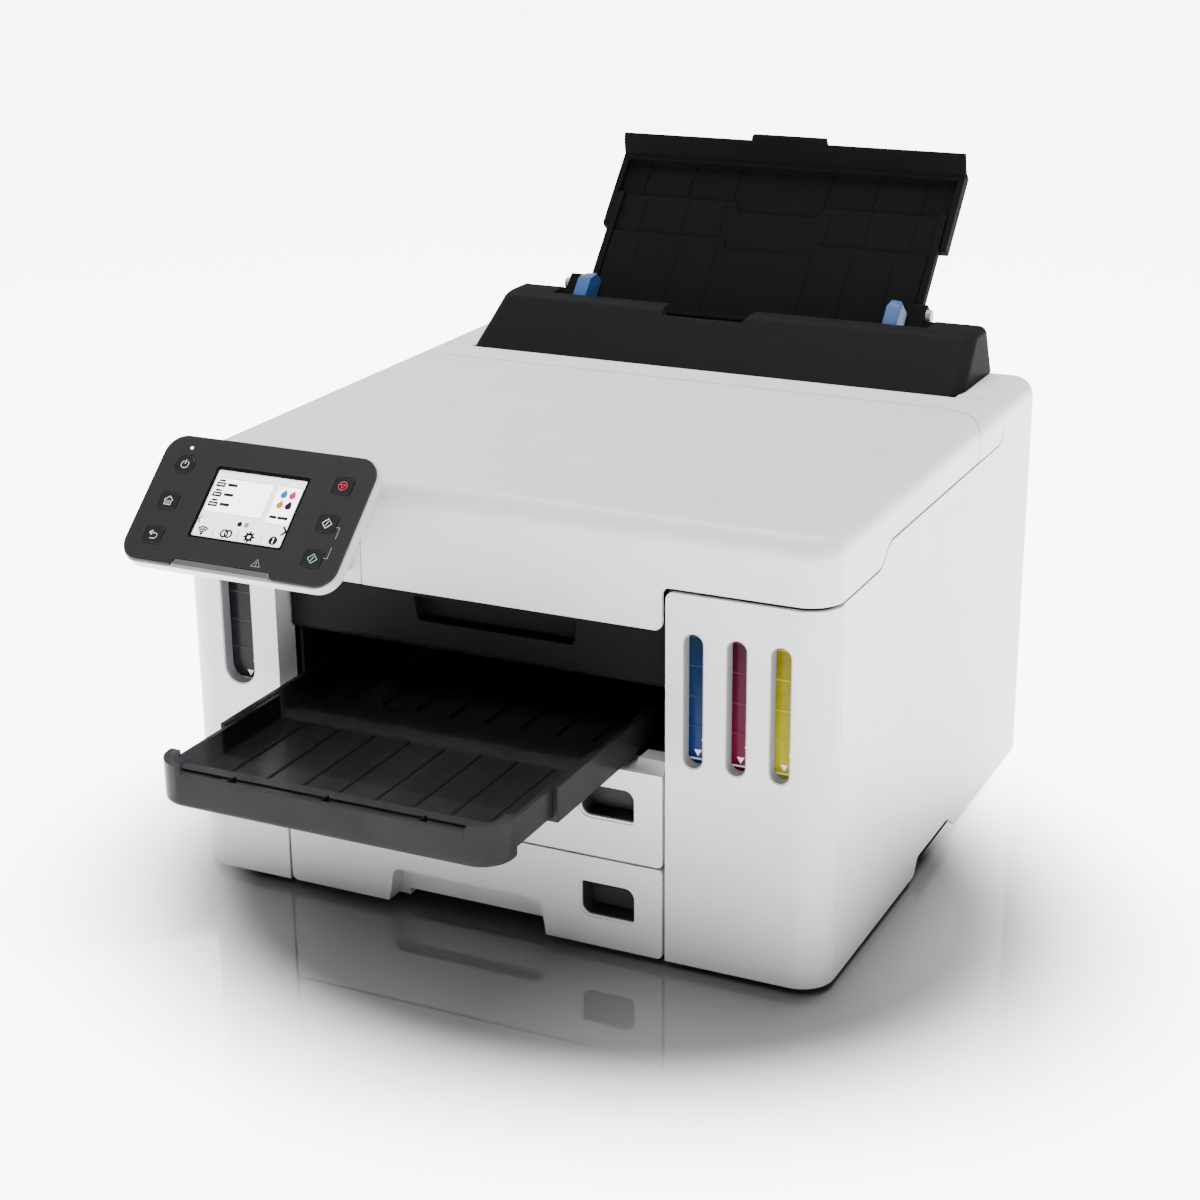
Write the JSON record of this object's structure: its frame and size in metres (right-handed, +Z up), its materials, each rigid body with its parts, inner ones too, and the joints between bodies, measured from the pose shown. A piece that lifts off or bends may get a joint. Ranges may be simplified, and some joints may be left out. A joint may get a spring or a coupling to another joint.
{
  "type": "inkjet printer",
  "caption": "Refillable-tank inkjet printer with two front paper cassettes, a rear paper feed, a pull-out output tray and a tilting touch control panel.",
  "frame": {"origin": "middle of the bounding box's underside, on the table under the printer", "axes": "+X to the right seen from the front, +Y towards the back, +Z up"},
  "size_m": [0.399, 0.6086, 0.3887],
  "materials": {
    "white_plastic": "fine matte texture",
    "black_plastic": "fine matte texture",
    "gloss_black": "smooth, slightly glossy",
    "smoke_plastic": "smoked, translucent",
    "grey_plastic": "matte",
    "blue_plastic": "satin",
    "rubber": "matte",
    "steel": "zinc-plated sheet",
    "board_green": "solder mask",
    "screen_glass": "polished, lit display",
    "ink_black": "translucent tank full of black ink",
    "ink_cyan": "translucent tank full of cyan ink",
    "ink_magenta": "translucent tank full of magenta ink",
    "ink_yellow": "translucent tank full of yellow ink"
  },
  "bodies": {
    "body": {"rear_top_cover": "white_plastic", "right_side_shell": "white_plastic", "left_side_shell": "white_plastic", "rear_panel": "white_plastic", "right_tank_cover": "white_plastic", "left_tank_cover": "white_plastic", "panel_bracket": "white_plastic", "base_plate": "black_plastic", "output_duct": "black_plastic", "hopper_housing": "black_plastic", "hopper_chute": "black_plastic", "support_base": "black_plastic", "platen": "black_plastic", "power_inlet": "black_plastic", "power_supply": "black_plastic", "front_fascia": "gloss_black", "capping_station": "grey_plastic", "maintenance_cartridge": "grey_plastic", "front_left_foot": "rubber", "front_right_foot": "rubber", "rear_left_foot": "rubber", "rear_right_foot": "rubber", "timing_belt": "rubber", "chassis_frame": "steel", "carriage_shaft": "steel", "carriage_motor": "steel", "feed_motor": "steel", "main_board": "board_green", "black_ink_tank": "ink_black", "cyan_ink_tank": "ink_cyan", "magenta_ink_tank": "ink_magenta", "yellow_ink_tank": "ink_yellow"},
    "lid": {"top_cover": "white_plastic"},
    "panel": {"panel_face": "gloss_black", "panel_casing": "white_plastic", "lcd_screen": "screen_glass", "status_bar": "grey_plastic"},
    "output_tray": {"output_tray": "smoke_plastic"},
    "output_extension": {"output_tray_extension": "smoke_plastic"},
    "upper_cassette": {"upper_cassette_front": "white_plastic", "upper_cassette_tray": "black_plastic"},
    "lower_cassette": {"lower_cassette_front": "white_plastic", "lower_cassette_tray": "black_plastic"},
    "support_mid": {"support_mid": "black_plastic"},
    "support_top": {"support_top": "black_plastic"},
    "left_guide": {"left_paper_guide": "blue_plastic"},
    "right_guide": {"right_paper_guide": "blue_plastic"},
    "carriage": {"print_carriage": "black_plastic", "print_head": "grey_plastic"},
    "drive_pulley": {"drive_pulley": "grey_plastic"},
    "idler_pulley": {"idler_pulley": "grey_plastic"},
    "feed_roller": {"feed_roller": "rubber"},
    "exit_roller": {"exit_roller": "rubber"},
    "rear_cover": {"rear_cover": "black_plastic"},
    "power_button": {"power_button": "gloss_black"},
    "home_button": {"home_button": "gloss_black"},
    "back_button": {"back_button": "gloss_black"},
    "stop_button": {"stop_button": "gloss_black"},
    "black_start_button": {"black_start_button": "gloss_black"},
    "colour_start_button": {"colour_start_button": "gloss_black"}
  },
  "joints": [
    {"name": "lid_hinge", "type": "hinge", "parent": "body", "child": "lid", "pos_m": [0, 0.11922, 0.2592], "axis": [-1, 0, 0], "range_deg": [0, 65]},
    {"name": "panel_tilt", "type": "hinge", "parent": "body", "child": "panel", "pos_m": [-0.1193, -0.17544, 0.25597], "axis": [1, 0, 0], "range_deg": [0, 47.6]},
    {"name": "power_press", "type": "slide", "parent": "panel", "child": "power_button", "axis": [0, 0.6743, -0.7385], "range_m": [0, 0.0006], "stiffness_N_per_m": 700, "springref_m": -0.0005},
    {"name": "home_press", "type": "slide", "parent": "panel", "child": "home_button", "axis": [0, 0.6743, -0.7385], "range_m": [0, 0.0006], "stiffness_N_per_m": 700, "springref_m": -0.0005},
    {"name": "back_press", "type": "slide", "parent": "panel", "child": "back_button", "axis": [0, 0.6743, -0.7385], "range_m": [0, 0.0006], "stiffness_N_per_m": 700, "springref_m": -0.0005},
    {"name": "stop_press", "type": "slide", "parent": "panel", "child": "stop_button", "axis": [0, 0.6743, -0.7385], "range_m": [0, 0.0006], "stiffness_N_per_m": 700, "springref_m": -0.0005},
    {"name": "black_start_press", "type": "slide", "parent": "panel", "child": "black_start_button", "axis": [0, 0.6743, -0.7385], "range_m": [0, 0.0006], "stiffness_N_per_m": 700, "springref_m": -0.0005},
    {"name": "colour_start_press", "type": "slide", "parent": "panel", "child": "colour_start_button", "axis": [0, 0.6743, -0.7385], "range_m": [0, 0.0006], "stiffness_N_per_m": 700, "springref_m": -0.0005},
    {"name": "output_tray_slide", "type": "slide", "parent": "body", "child": "output_tray", "axis": [0, 1, 0], "range_m": [0, 0.104]},
    {"name": "output_extension_slide", "type": "slide", "parent": "output_tray", "child": "output_extension", "axis": [0, 1, 0], "range_m": [0, 0.043]},
    {"name": "upper_cassette_slide", "type": "slide", "parent": "body", "child": "upper_cassette", "axis": [0, -1, 0], "range_m": [0, 0.2]},
    {"name": "lower_cassette_slide", "type": "slide", "parent": "body", "child": "lower_cassette", "axis": [0, -1, 0], "range_m": [0, 0.2]},
    {"name": "support_mid_slide", "type": "slide", "parent": "body", "child": "support_mid", "axis": [0, -0.6587, -0.7524], "range_m": [0, 0.028]},
    {"name": "support_top_slide", "type": "slide", "parent": "support_mid", "child": "support_top", "axis": [0, -0.6587, -0.7524], "range_m": [0, 0.026]},
    {"name": "left_guide_slide", "type": "slide", "parent": "body", "child": "left_guide", "axis": [1, 0, 0], "range_m": [0, 0.05]},
    {"name": "right_guide_slide", "type": "slide", "parent": "body", "child": "right_guide", "axis": [-1, 0, 0], "range_m": [0, 0.05]},
    {"name": "carriage_slide", "type": "slide", "parent": "body", "child": "carriage", "axis": [-1, 0, 0], "range_m": [0, 0.25]},
    {"name": "drive_pulley_spin", "type": "hinge", "parent": "body", "child": "drive_pulley", "pos_m": [0.165, 0.03522, 0.212], "axis": [0, 1, 0], "continuous": true},
    {"name": "idler_pulley_spin", "type": "hinge", "parent": "body", "child": "idler_pulley", "pos_m": [-0.165, 0.03522, 0.212], "axis": [0, 1, 0], "continuous": true},
    {"name": "feed_roller_spin", "type": "hinge", "parent": "body", "child": "feed_roller", "pos_m": [0, 0.04922, 0.158], "axis": [1, 0, 0], "continuous": true},
    {"name": "exit_roller_spin", "type": "hinge", "parent": "body", "child": "exit_roller", "pos_m": [0, -0.06078, 0.158], "axis": [1, 0, 0], "continuous": true},
    {"name": "rear_cover_hinge", "type": "hinge", "parent": "body", "child": "rear_cover", "pos_m": [0, 0.22523, 0.06], "axis": [-1, 0, 0], "range_deg": [0, 40]}
  ],
  "couplings": [
    {"joint": "right_guide_slide", "follows": "left_guide_slide", "ratio": 1},
    {"joint": "drive_pulley_spin", "follows": "carriage_slide", "rad_per_m": 133.33},
    {"joint": "idler_pulley_spin", "follows": "carriage_slide", "rad_per_m": 133.33},
    {"joint": "exit_roller_spin", "follows": "feed_roller_spin", "ratio": 1.3333}
  ]
}
